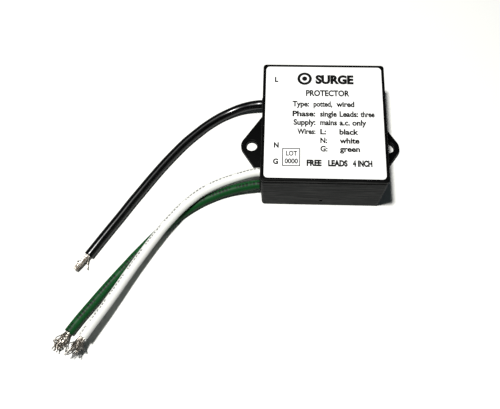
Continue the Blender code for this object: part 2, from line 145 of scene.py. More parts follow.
class Graph:
    """The shader graph of one material, or of the world."""

    def __init__(self, name: str, world: bool = False) -> None:
        """Start an empty graph.

        Args:
            name: The name of the new material or world that it belongs to.
            world: Whether it is a world.
        """
        self.owner = (bpy.data.worlds if world else bpy.data.materials).new(name)
        self.owner.use_nodes = True
        self.output = "ShaderNodeOutputWorld" if world else "ShaderNodeOutputMaterial"
        self.tree = self.owner.node_tree
        self.tree.nodes.clear()

    def add(self, kind: str, settings: dict[str, Any], inputs: dict[str | int, Any],
            output: str | int = 0) -> Socket:
        """Add any node.

        Args:
            kind: The node's type.
            settings: Its properties, set before its inputs.
            inputs: Numbers, colours or sockets for its inputs, by name or by place.
            output: The output that is wanted, by name or by place.

        Returns:
            The wanted output.
        """
        node = self.tree.nodes.new(kind)
        for key, value in settings.items():
            setattr(node, key, value)
        for key, value in inputs.items():
            if isinstance(value, Socket):
                self.tree.links.new(value.link, node.inputs[key])
            else:
                node.inputs[key].default_value = value
        return Socket(self, node.outputs[output])

    def mix(self, share: Socket, below: Any, above: Any) -> Socket:
        """Mix two colours, each a colour or a socket.

        Args:
            share: How much of the second colour shows, 0 to 1.
            below: The colour where share is 0.
            above: The colour where share is 1.

        Returns:
            The mixed colour.
        """
        pair = [side if isinstance(side, Socket) else (*side, 1.0) for side in (below, above)]
        inputs = {MIX_SHARE: share, MIX_BELOW: pair[0], MIX_ABOVE: pair[1]}
        return self.add("ShaderNodeMix", {"data_type": "RGBA"}, inputs, MIX_RESULT)

    def place(self, stretch: Triple = (1.0, 1.0, 1.0)) -> Socket:
        """Return the point on the piece in metres, each axis multiplied by stretch."""
        point = self.add("ShaderNodeTexCoord", {}, {}, "Object")
        return self.add("ShaderNodeVectorMath", {"operation": "MULTIPLY"}, {0: point, 1: stretch})

    def along(self, stretch: Triple = (1.0, 1.0, 1.0)) -> Socket:
        """Return a tube's own map: metres along it and turns round it, multiplied by stretch."""
        point = self.add("ShaderNodeUVMap", {"uv_map": TUBE_MAP}, {}, "UV")
        return self.add("ShaderNodeVectorMath", {"operation": "MULTIPLY"}, {0: point, 1: stretch})

    def axis(self, vector: Socket, name: str) -> Socket:
        """Return one of a vector's parts, by its name X, Y or Z."""
        return self.add("ShaderNodeSeparateXYZ", {}, {0: vector}, name)

    def grain(self, vector: Socket, scale: float, detail: float = 3.0) -> Socket:
        """Return noise of that scale, from 0 to 1."""
        inputs = {"Vector": vector, "Scale": scale, "Detail": detail}
        return self.add("ShaderNodeTexNoise", {}, inputs)

    def specks(self, vector: Socket, scale: float) -> Socket:
        """Return the distance to the nearest of many scattered points, from 0 up."""
        return self.add("ShaderNodeTexVoronoi", {}, {"Vector": vector, "Scale": scale}, "Distance")

    def bump(self, height: Socket, depth: float, strength: float = 1.0) -> Socket:
        """Return a normal bent by height.

        Args:
            height: The relief, from 0 to 1.
            depth: What 1 stands for, in metres.
            strength: How much of the relief shows, 0 to 1.

        Returns:
            The bent normal.
        """
        inputs = {"Height": height, "Distance": depth, "Strength": strength}
        return self.add("ShaderNodeBump", {}, inputs, "Normal")

    def surface(self, inputs: dict[str, Any]) -> bpy.types.Material:
        """Close the graph with a Principled shader.

        Args:
            inputs: Numbers, colours or sockets for the shader's inputs.

        Returns:
            The finished material.
        """
        shader = self.add("ShaderNodeBsdfPrincipled", {}, inputs)
        self.add_output(shader)
        return self.owner

    def add_output(self, shader: Socket) -> None:
        """Link a shader to the graph's output."""
        output = self.tree.nodes.new(self.output)
        self.tree.links.new(shader.link, output.inputs["Surface"])


# ---- finishes


class Marking(Enum):
    """What is printed along a lead's jacket."""

    NONE = "none"
    DOTS = "dots"
    DASHES = "dashes"


@dataclass(frozen=True)
class MouldedPlastic:
    """Black moulded plastic with a fine spark-eroded skin and drawn streaks on its walls, whose
    lighter grey there is partly painted light that makes the walls brighter than the top.
    """

    name: str = "moulded_black_plastic"
    colour: Colour = (0.0006, 0.0006, 0.0007)
    # lighter grey of the walls' streaks: partly the mould's own streaks, partly painted light that
    # lifts the upright walls above the top
    streak_and_wall_light: Colour = (0.068, 0.067, 0.066)
    dust: Colour = (0.07, 0.07, 0.07)
    roughness: float = 0.40
    gloss: float = 0.06
    streak_stretch: Triple = (90.0, 90.0, 2600.0)
    cloud_scale: float = 160.0
    skin_scale: float = 5200.0
    skin_depth: float = 0.000009
    fleck_scale: float = 700.0
    fleck_size: float = 0.10
    fleck_strength: float = 0.3

    def material(self) -> bpy.types.Material:
        """Build the plastic.

        Returns:
            The material.
        """
        graph = Graph(self.name)
        streaks = graph.grain(graph.place(self.streak_stretch), 1.0, 4.0)
        cloud = graph.grain(graph.place(), self.cloud_scale, 5.0)
        skin = graph.grain(graph.place(), self.skin_scale, 2.0)
        up = graph.axis(graph.add("ShaderNodeNewGeometry", {}, {}, "Normal"), "Z")
        # painted light: only upright walls take the lighter streaky grey, so they read brighter
        # than the top; the streak pattern itself is the mould's
        wall = 1.0 - abs(up).spread(0.2, 0.7)
        streak_and_wall_light_share = wall * (streaks.spread(0.46, 0.62) * 0.8 + cloud.spread(0.45, 0.75) * 0.2)
        specks = graph.specks(graph.place(), self.fleck_scale) < self.fleck_size
        flecks = specks * cloud.spread(0.55, 0.65)
        colour = graph.mix(flecks * self.fleck_strength,
                           graph.mix(streak_and_wall_light_share, self.colour, self.streak_and_wall_light), self.dust)
        roughness = self.roughness + (cloud - 0.5) * 0.16 + (skin - 0.5) * 0.10
        relief = skin * 0.7 + streaks * wall * 0.6
        return graph.surface({
            "Base Color": colour, "Roughness": roughness, "Specular IOR Level": self.gloss,
            "Normal": graph.bump(relief, self.skin_depth, 0.6)})


@dataclass(frozen=True)
class LabelFilm:
    """White polyester film with a faint weave of its coating and handling marks."""

    name: str = "white_label_film"
    colour: Colour = (0.90, 0.90, 0.89)
    shade: Colour = (0.80, 0.80, 0.79)
    roughness: float = 0.42
    gloss: float = 0.4
    cloud_scale: float = 70.0
    fibre_scale: float = 1400.0
    mark_scale: float = 160.0
    weave_depth: float = 0.00001

    def material(self) -> bpy.types.Material:
        """Build the film.

        Returns:
            The material.
        """
        graph = Graph(self.name)
        cloud = graph.grain(graph.place(), self.cloud_scale, 4.0)
        fibre = graph.grain(graph.place((1.0, 2.5, 1.0)), self.fibre_scale, 3.0)
        marks = graph.grain(graph.place((1.0, 12.0, 1.0)), self.mark_scale, 2.0).spread(0.66, 0.80)
        tone = cloud.spread(0.35, 0.75) * 0.25 + fibre.spread(0.5, 0.8) * 0.12
        roughness = self.roughness + (cloud - 0.5) * 0.12 - marks * 0.10
        return graph.surface({
            "Base Color": graph.mix(tone, self.colour, self.shade), "Roughness": roughness,
            "Specular IOR Level": self.gloss,
            "Normal": graph.bump(fibre + cloud, self.weave_depth, 0.35)})


@dataclass(frozen=True)
class PrintInk:
    """Thermal-transfer ink, slightly thinner in places."""

    name: str = "label_ink"
    colour: Colour = (0.0015, 0.0015, 0.0017)
    thin: Colour = (0.016, 0.016, 0.017)
    roughness: float = 0.5
    gloss: float = 0.15
    ribbon_scale: float = 2200.0
    ribbon_depth: float = 0.000008
    patch_scale: float = 500.0

    def material(self) -> bpy.types.Material:
        """Build the ink.

        Returns:
            The material.
        """
        graph = Graph(self.name)
        ribbon = graph.grain(graph.place((1.0, 6.0, 1.0)), self.ribbon_scale, 2.0)
        patch = graph.grain(graph.place(), self.patch_scale, 2.0)
        thinner = ribbon.spread(0.5, 0.75) * patch.spread(0.4, 0.7)
        return graph.surface({
            "Base Color": graph.mix(thinner, self.colour, self.thin),
            "Roughness": self.roughness + (ribbon - 0.5) * 0.2,
            "Specular IOR Level": self.gloss,
            "Normal": graph.bump(ribbon, self.ribbon_depth, 0.4)})


@dataclass(frozen=True)
class Insulation:
    """Extruded PVC jacket with drawn lines, handling marks and a faint printed legend."""

    name: str
    colour: Colour
    deep: Colour
    roughness: float
    marking: Marking = Marking.NONE
    print_colour: Colour = (0.0, 0.0, 0.0)
    shine: float = 0.5
    relief: float = 0.00002
    print_side: float = 0.58  # how far round the jacket the legend runs, in turns
    dot_height: float = 0.034  # half the height of the legend's marks, in turns
    dash_height: float = 0.055
    print_pitch: float = 0.0014  # the length of one mark and its gap
    mark_share: float = 0.66
    word_marks: float = 8.0
    word_share: float = 0.80
    print_strength: float = 0.95
    wear_stretch: Triple = (1250.0, 14.0, 1.0)
    drawn_stretch: Triple = (22.0, 26.0, 1.0)
    scuff_stretch: Triple = (900.0, 9.0, 1.0)
    cloud_scale: float = 190.0
    fine_scale: float = 3600.0

    def legend(self, graph: Graph) -> Socket:
        """Return where the printed legend shows, 0 to 1.

        Args:
            graph: The graph that the legend is added to.

        Returns:
            The legend's mask.
        """
        tube = graph.along()
        run = graph.axis(tube, "X")
        turn = graph.axis(tube, "Y")
        tall = self.dash_height if self.marking is Marking.DASHES else self.dot_height
        band = abs(turn - self.print_side) < tall
        marks = (run / self.print_pitch).part() < self.mark_share
        letters = graph.grain(graph.along(self.wear_stretch), 1.0, 1.0).spread(0.38, 0.44)
        words = (run / (self.print_pitch * self.word_marks)).part() < self.word_share
        return band * marks * words * letters

    def material(self) -> bpy.types.Material:
        """Build the insulation.

        Returns:
            The material.
        """
        graph = Graph(self.name)
        drawn = graph.grain(graph.along(self.drawn_stretch), 1.0, 4.0)
        cloud = graph.grain(graph.place(), self.cloud_scale, 4.0)
        scuffs = graph.grain(graph.along(self.scuff_stretch), 1.0, 3.0).spread(0.63, 0.78)
        fine = graph.grain(graph.place(), self.fine_scale, 2.0)
        colour = graph.mix(drawn.spread(0.35, 0.7) * 0.55 + cloud.spread(0.4, 0.7) * 0.35,
                           self.colour, self.deep)
        if self.marking is not Marking.NONE:
            colour = graph.mix(self.legend(graph) * self.print_strength, colour, self.print_colour)
        roughness = self.roughness + (cloud - 0.5) * 0.14 + scuffs * 0.16 + (fine - 0.5) * 0.08
        relief = drawn * 0.8 + fine * 0.12 - scuffs * 0.25
        return graph.surface({
            "Base Color": colour, "Roughness": roughness, "Specular IOR Level": self.shine,
            "Normal": graph.bump(relief, self.relief, 0.55)})


@dataclass(frozen=True)
class TinnedCopper:
    """Fine tinned strands, bright where the tin is whole and brown where it is thin."""

    name: str = "tinned_copper_strands"
    bright: Colour = (0.43, 0.40, 0.36)
    dull: Colour = (0.10, 0.075, 0.05)
    roughness: float = 0.26
    patch_scale: float = 900.0
    draw_scale: float = 4200.0
    draw_depth: float = 0.00001

    def material(self) -> bpy.types.Material:
        """Build the metal.

        Returns:
            The material.
        """
        graph = Graph(self.name)
        patch = graph.grain(graph.place(), self.patch_scale, 3.0)
        draw = graph.grain(graph.place(), self.draw_scale, 2.0)
        tarnish = patch.spread(0.44, 0.62) * 0.85
        return graph.surface({
            "Base Color": graph.mix(tarnish, self.bright, self.dull),
            "Metallic": 1.0 - tarnish * 0.3,
            "Roughness": self.roughness + tarnish * 0.25 + (draw - 0.5) * 0.15,
            "Normal": graph.bump(draw, self.draw_depth, 0.4)})


@dataclass(frozen=True)
class BoardLaminate:
    """Glass-epoxy board under green solder mask, its weave just showing."""

    name: str = "circuit_board_laminate"
    mask: Colour = (0.010, 0.095, 0.035)
    glass: Colour = (0.045, 0.18, 0.07)
    roughness: float = 0.36
    threads: float = 1600.0  # in each metre
    cloud_scale: float = 240.0
    weave_depth: float = 0.00002

    def material(self) -> bpy.types.Material:
        """Build the laminate.

        Returns:
            The material.
        """
        graph = Graph(self.name)
        point = graph.place((self.threads, self.threads, 1.0))
        warp = abs(graph.axis(point, "X").part() - 0.5)
        weft = abs(graph.axis(point, "Y").part() - 0.5)
        weave = (warp + weft).spread(0.2, 0.8)
        cloud = graph.grain(graph.place(), self.cloud_scale, 3.0)
        share = weave * 0.35 + cloud.spread(0.45, 0.75) * 0.3
        return graph.surface({
            "Base Color": graph.mix(share, self.mask, self.glass),
            "Roughness": self.roughness + (cloud - 0.5) * 0.14,
            "Normal": graph.bump(weave, self.weave_depth, 0.4)})


@dataclass(frozen=True)
class DippedCoating:
    """A dipped or cast resin skin with sags, pinholes and soft lumps."""

    name: str
    colour: Colour
    deep: Colour
    roughness: float
    lump: float = 260.0
    lump_depth: float = 0.0001
    pinhole_size: float = 0.07

    def material(self) -> bpy.types.Material:
        """Build the coating.

        Returns:
            The material.
        """
        graph = Graph(self.name)
        sag = graph.grain(graph.place((1.0, 1.0, 0.5)), self.lump, 4.0)
        pinholes = graph.specks(graph.place(), self.lump * 4.0) < self.pinhole_size
        fine = graph.grain(graph.place(), self.lump * 14.0, 2.0)
        share = sag.spread(0.35, 0.75) * 0.7 + pinholes * 0.3
        return graph.surface({
            "Base Color": graph.mix(share, self.colour, self.deep),
            "Roughness": self.roughness + (sag - 0.5) * 0.2 + pinholes * 0.2,
            "Normal": graph.bump(sag + fine * 0.15 - pinholes * 0.3, self.lump_depth, 0.5)})


@dataclass(frozen=True)
class TableSheet:
    """The matt, nearly white sheet that the module is shown on.

    The light that it throws back on the module is weaker than what the camera sees. Away
    from the module it runs on evenly into the backdrop, and lights nothing there.
    """

    name: str = "table_sheet"
    colour: Colour = (0.93, 0.93, 0.905)
    thrown: Colour = (0.46, 0.47, 0.46)
    afar: Colour = (0.97, 0.97, 0.96)
    near: float = 0.12  # where the sheet starts to run on evenly, from the module's middle
    far: float = 0.28
    roughness: float = 0.85
    gloss: float = 0.1
    cloud_scale: float = 14.0
    cloud_share: float = 0.985

    def material(self) -> bpy.types.Material:
        """Build the sheet.

        Returns:
            The material.
        """
        graph = Graph(self.name)
        cloud = graph.grain(graph.place(), self.cloud_scale, 2.0)
        darker = tuple(part * self.cloud_share for part in self.colour)
        seen = graph.add("ShaderNodeLightPath", {}, {}, "Is Camera Ray")
        shade = graph.mix(seen, self.thrown, graph.mix(cloud, self.colour, darker))
        sheet = graph.add("ShaderNodeBsdfPrincipled", {}, {
            "Base Color": shade, "Roughness": self.roughness, "Specular IOR Level": self.gloss})
        even = graph.add("ShaderNodeEmission", {}, {"Color": (*self.afar, 1.0)})
        length = {"operation": "LENGTH"}
        away = graph.add("ShaderNodeVectorMath", length, {0: graph.place()}, "Value")
        share = away.spread(self.near, self.far) * seen
        graph.add_output(graph.add("ShaderNodeMixShader", {}, {0: share, 1: sheet, 2: even}))
        # The even part is only seen. Nothing is lit by it.
        graph.owner.cycles.emission_sampling = "NONE"
        return graph.owner


# ---- mesh making


@dataclass
class Station:
    """One ring of a swept tube."""

    centre: Vector
    radius: float
    run: float


class Blank:
    """A mesh piece while it is being made, drawn in metres in the row frame."""

    def __init__(self, name: str) -> None:
        """Start an empty mesh.

        Args:
            name: The name of the piece that it becomes.
        """
        self.name = name
        self.bm = bmesh.new()
        self.map = self.bm.loops.layers.uv.new(TUBE_MAP)

    def prism(self, outline: Outline, bottom: float, top: float) -> None:
        """Add a flat closed body.

        Args:
            outline: The corners, anticlockwise from above.
            bottom: The height of its underside.
            top: The height of its upper side.
        """
        low = [self.bm.verts.new((x, y, bottom)) for x, y in outline]
        high = [self.bm.verts.new((x, y, top)) for x, y in outline]
        self.bm.faces.new(high)
        self.bm.faces.new(low[::-1])
        for i, (a, b) in enumerate(zip(low, high)):
            j = (i + 1) % len(low)
            self.bm.faces.new((a, low[j], high[j], b))

    def collar(self, outer: Outline, inner: Outline, bottom: float, top: float) -> None:
        """Add a flat closed ring between two outlines.

        Args:
            outer: The outer corners, anticlockwise from above.
            inner: As many inner corners, in the same order.
            bottom: The height of its underside.
            top: The height of its upper side.
        """
        loops = []
        for outline, height in ((outer, bottom), (outer, top), (inner, top), (inner, bottom)):
            loops.append([self.bm.verts.new((x, y, height)) for x, y in outline])
        for this, following in zip(loops, loops[1:] + loops[:1]):
            for i in range(len(this)):
                j = (i + 1) % len(this)
                self.bm.faces.new((this[i], this[j], following[j], following[i]))

    def sweep(self, stations: list[Station], headings: list[Vector], sides: int) -> None:
        """Add a closed round tube through the stations, with flat ends.

        Each ring's first corner is underneath the tube, so the tube's map has its seam there
        and half a turn is its top.

        Args:
            stations: The rings from one end to the other.
            headings: The direction of the tube at each station.
            sides: How many corners each ring has.
        """
        across = Vector((0.0, 0.0, -1.0))
        rings = []
        for station, heading in zip(stations, headings):
            across = (across - heading * across.dot(heading)).normalized()
            beside = heading.cross(across)
            ring = []
            for side in range(sides):
                angle = math.tau * side / sides
                arm = across * math.cos(angle) + beside * math.sin(angle)
                ring.append(self.bm.verts.new(station.centre + arm * station.radius))
            rings.append(ring)
        for k in range(len(rings) - 1):
            for side in range(sides):
                following = (side + 1) % sides
                face = self.bm.faces.new((rings[k][side], rings[k][following],
                                          rings[k + 1][following], rings[k + 1][side]))
                places = ((k, side), (k, side + 1), (k + 1, side + 1), (k + 1, side))
                for loop, (at, corner) in zip(face.loops, places):
                    loop[self.map].uv = (stations[at].run, corner / sides)
        self.bm.faces.new(rings[0][::-1])
        self.bm.faces.new(rings[-1])

    def finish(self, material: bpy.types.Material, sharp: float = 40.0) -> bpy.types.Object:
        """Make the object.

        Args:
            material: The material that it is made of.
            sharp: The angle in degrees above which an edge stays sharp.

        Returns:
            The object, in the scene and riding on the module.
        """
        mesh = bpy.data.meshes.new(self.name)
        self.bm.to_mesh(mesh)
        self.bm.free()
        mesh.materials.append(material)
        mesh.shade_smooth()
        mesh.set_sharp_from_angle(angle=math.radians(sharp))
        item = bpy.data.objects.new(self.name, mesh)
        bpy.context.scene.collection.objects.link(item)
        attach(item, BODY)
        return item


def box_outline(left: float, low: float, width: float, height: float) -> Outline:
    """Return a rectangle's corners, anticlockwise from its lower left."""
    right, top = left + width, low + height
    return [(left, low), (right, low), (right, top), (left, top)]


def round_outline(x: float, y: float, radius: float, sides: int = 48) -> Outline:
    """Return a circle's corners, anticlockwise."""
    turns = [math.tau * side / sides for side in range(sides)]
    return [(x + radius * math.cos(turn), y + radius * math.sin(turn)) for turn in turns]


def headings_of(points: list[Vector]) -> list[Vector]:
    """Find which way a line runs at each of its points.

    Args:
        points: The line's points in order.

    Returns:
        A direction for each point, read from its neighbours.
    """
    ahead = points[1:] + points[-1:]
    behind = points[:1] + points[:-1]
    return [(after - before).normalized() for before, after in zip(behind, ahead)]


def dress(node: str, material: bpy.types.Material) -> None:
    """Give a CAD node its finish.

    Args:
        node: The node's name.
        material: The finish, put in the node's material slots.
    """
    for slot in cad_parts[node].material_slots:
        slot.material = material
    LOG.info("dressed %s in %s", node, material.name)


# ---- sub-assemblies


@dataclass
class Case:
    """The tub with its ears and the cover on top, both moulded in black plastic."""

    edge: float = 0.13 * MM
    edge_steps: int = 2
    edge_profile: float = 0.5
    crease: float = 28.0  # degrees above which an edge is rounded
    flat: float = 0.8  # degrees below which two facets count as one wall
    sharp: float = 60.0  # degrees above which shading breaks
    weld: float = 0.003 * MM

    def mould(self, node: str, name: str, plastic: bpy.types.Material) -> None:
        """Make a moulding from its CAD node, with its crisp edges rounded.

        Args:
            node: The CAD node's name.
            name: The moulding's name.
            plastic: What it is moulded in.
        """
        blank = Blank(name)
        blank.bm.from_mesh(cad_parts[node].data)
        bmesh.ops.remove_doubles(blank.bm, verts=blank.bm.verts, dist=self.weld)
        bmesh.ops.dissolve_limit(blank.bm, angle_limit=math.radians(self.flat),
                                 verts=blank.bm.verts, edges=blank.bm.edges)
        crease = math.radians(self.crease)
        crisp = [edge for edge in blank.bm.edges if edge.calc_face_angle() > crease]
        bmesh.ops.bevel(blank.bm, geom=crisp, offset=self.edge, offset_type="OFFSET",
                        segments=self.edge_steps, profile=self.edge_profile, affect="EDGES",
                        miter_outer="ARC")
        item = blank.finish(plastic, self.sharp)
        item.modifiers.new("flat_walls", "WEIGHTED_NORMAL").keep_sharp = True
        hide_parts(node)
        LOG.info("built %s in place of %s", name, node)

    def build(self) -> None:
        """Make both mouldings."""
        plastic = MouldedPlastic().material()
        self.mould("case_tub", "moulded_tub", plastic)
        self.mould("top_cover", "moulded_cover", plastic)


@dataclass(frozen=True)
class PrintedRow:
    """One row of print: its foot and the height of its capitals in millimetres, then its words.

    Each word has its text, where it starts and how wide it is.
    """

    foot: float
    capital: float
    words: tuple[tuple[str, float, float], ...]
    weight: float = 0.040


@dataclass
class Label:
    """The film in the cover's recess, with the terminals' letters and a plain description.

    The ring's and the frame's sizes are in millimetres.
    """

    skin: float = 0.012 * MM
    weld: float = 0.001 * MM
    letter_steps: int = 4
    ring: Triple = (-7.2, 18.1, 2.75)  # the middle's place and the radius
    ring_shares: Triple = (1.0, 0.62, 0.36)  # outside, inside and dot
    lot_frame: tuple[float, float, float, float] = (-15.3, -18.7, 6.5, 7.2)
    frame_line: float = 0.34
    terminals: tuple[PrintedRow, ...] = (
        PrintedRow(16.6, 2.2, (("L", -18.5, 1.3),), 0.05),
        PrintedRow(-11.3, 2.1, (("N", -18.4, 1.8),), 0.05),
        PrintedRow(-17.9, 2.1, (("G", -18.6, 1.9),), 0.05))
    rows: tuple[PrintedRow, ...] = (
        PrintedRow(16.1, 3.7, (("SURGE", -3.1, 14.4),), 0.06),
        PrintedRow(10.6, 2.5, (("PROTECTOR", -6.7, 16.3),)),
        PrintedRow(6.0, 2.3, (("Type:", -11.7, 6.2), ("potted,", -3.9, 7.0), ("wired", 4.6, 6.7))),
        PrintedRow(1.8, 2.3, (("Phase:", -11.7, 8.5), ("single", -1.5, 6.2), ("Leads:", 5.7, 6.9),
                              ("three", 13.4, 5.2))),
        PrintedRow(-1.8, 2.3, (("Supply:", -11.3, 8.1), ("mains", -1.5, 6.2),
                               ("a.c. only", 5.6, 9.9))),
        PrintedRow(-5.6, 2.2, (("Wires:", -9.9, 6.7), ("L:", -1.5, 2.2), ("black", 5.5, 7.0))),
        PrintedRow(-9.2, 2.2, (("N:", -1.5, 2.5), ("white", 5.5, 7.2))),
        PrintedRow(-12.6, 2.2, (("G:", -1.5, 2.6), ("green", 5.5, 7.3))),
        PrintedRow(-14.5, 1.9, (("LOT", -13.9, 4.0),), 0.03),
        PrintedRow(-17.6, 1.9, (("0000", -14.4, 4.8),), 0.03),
        PrintedRow(-18.4, 2.4, (("FREE", -6.5, 5.4), ("LEADS", 1.2, 7.0),
                                ("4 INCH", 10.0, 7.0)), 0.06),
    )

    def heights(self) -> tuple[float, float]:
        """Return the print's underside, just inside the film, and its upper side."""
        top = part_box("rating_label")[1].z
        return top - self.skin * 0.5, top + self.skin

    def outline_of(self, text: str, weight: float) -> bpy.types.Mesh:
        """Make a word's solid letters, one unit in size and in thickness.

        Args:
            text: The word.
            weight: How much fatter than plain its strokes are.

        Returns:
            The letters' mesh.
        """
        data = bpy.data.curves.new("word", "FONT")
        data.body = text
        data.offset = weight
        data.extrude = 0.5
        data.resolution_u = self.letter_steps
        word = bpy.data.objects.new("word", data)
        bpy.context.scene.collection.objects.link(word)
        bpy.context.view_layer.update()
        shown = word.evaluated_get(bpy.context.evaluated_depsgraph_get())
        mesh = bpy.data.meshes.new_from_object(shown)
        bpy.data.objects.remove(word, do_unlink=True)
        return mesh

    def print_rows(self, name: str, rows: tuple[PrintedRow, ...]) -> Blank:
        """Set rows of words.

        Args:
            name: The name of the piece that they make.
            rows: The rows.

        Returns:
            The piece, which is not finished yet.
        """
        low, high = self.heights()
        blank = Blank(name)
        for row in rows:
            capital = max(vert.co.y for vert in self.outline_of("H", row.weight).vertices)
            for text, left, width in row.words:
                mesh = self.outline_of(text, row.weight)
                across = [vert.co.x for vert in mesh.vertices]
                stretch = width * MM / (max(across) - min(across))
                size = Matrix.Diagonal((stretch, row.capital * MM / capital, high - low, 1.0))
                start = Matrix.Translation((left * MM - min(across) * stretch, row.foot * MM,
                                            (low + high) / 2.0))
                mesh.transform(start @ size)
                blank.bm.from_mesh(mesh)
        bmesh.ops.remove_doubles(blank.bm, verts=blank.bm.verts, dist=self.weld)
        return blank

    def build(self) -> None:
        """Dress the film and print it."""
        dress("rating_label", LabelFilm().material())
        ink = PrintInk().material()
        low, high = self.heights()
        self.print_rows("terminal_letters", self.terminals).finish(ink)
        printed = self.print_rows("label_print", self.rows)
        x, y, radius = self.ring
        circles = [[(a * MM, b * MM) for a, b in round_outline(x, y, radius * share)]
                   for share in self.ring_shares]
        printed.collar(circles[0], circles[1], low, high)
        printed.prism(circles[2], low, high)
        left, foot, width, height = (size * MM for size in self.lot_frame)
        line = self.frame_line * MM
        inner = box_outline(left + line, foot + line, width - 2.0 * line, height - 2.0 * line)
        printed.collar(box_outline(left, foot, width, height), inner, low, high)
        printed.finish(ink)
        LOG.info("printed the label")


@dataclass
class Inside:
    """The pieces under the cover: board, varistor discs, thermal cut-offs and potting."""

    pairs: tuple[str, ...] = ("line_neutral", "line_ground", "neutral_ground")

    def build(self) -> None:
        """Dress every inner piece."""
        dress("circuit_board", BoardLaminate().material())
        coating = DippedCoating("varistor_coating", colour=(0.02, 0.07, 0.30),
                                deep=(0.012, 0.04, 0.19), roughness=0.34)
        ceramic = DippedCoating("cutoff_ceramic", colour=(0.66, 0.58, 0.42),
                                deep=(0.52, 0.44, 0.30), roughness=0.55, lump=420.0)
        resin = DippedCoating("potting_resin", colour=(0.016, 0.016, 0.017),
                              deep=(0.030, 0.029, 0.028), roughness=0.30, lump=120.0)
        discs, bodies = coating.material(), ceramic.material()
        for pair in self.pairs:
            dress(f"varistor_{pair}", discs)
            dress(f"thermal_cutoff_{pair}", bodies)
        dress("potting_compound", resin.material())


class Wire(Enum):
    """The three leads, by the conductor that each one connects."""

    LINE = "line"
    NEUTRAL = "neutral"
    GROUND = "ground"


@dataclass(frozen=True)
class Fray:
    """How the bare strands at a lead's end lie; sizes are in millimetres."""

    count: int
    length: float
    fan: float  # how far the strands spread, in bundle radii
    wander: float  # how far each strand strays from a straight line
    hook: float  # how much the tips turn back
    pile: float  # how thick the heap of strands gets
    strays: int
    seed: int
    held: float = 0.0  # how high above the table the heap hangs
    veer: float = 0.0  # how far the bundle's tip lies towards the back
    reach: tuple[float, float] = (0.72, 1.0)  # the strands' shares of the length
    stray_reach: float = 0.75
    fling: tuple[float, float] = (2.0, 3.4)  # how far a stray springs aside
    wave_rates: tuple[float, float] = (2.0, 6.5)


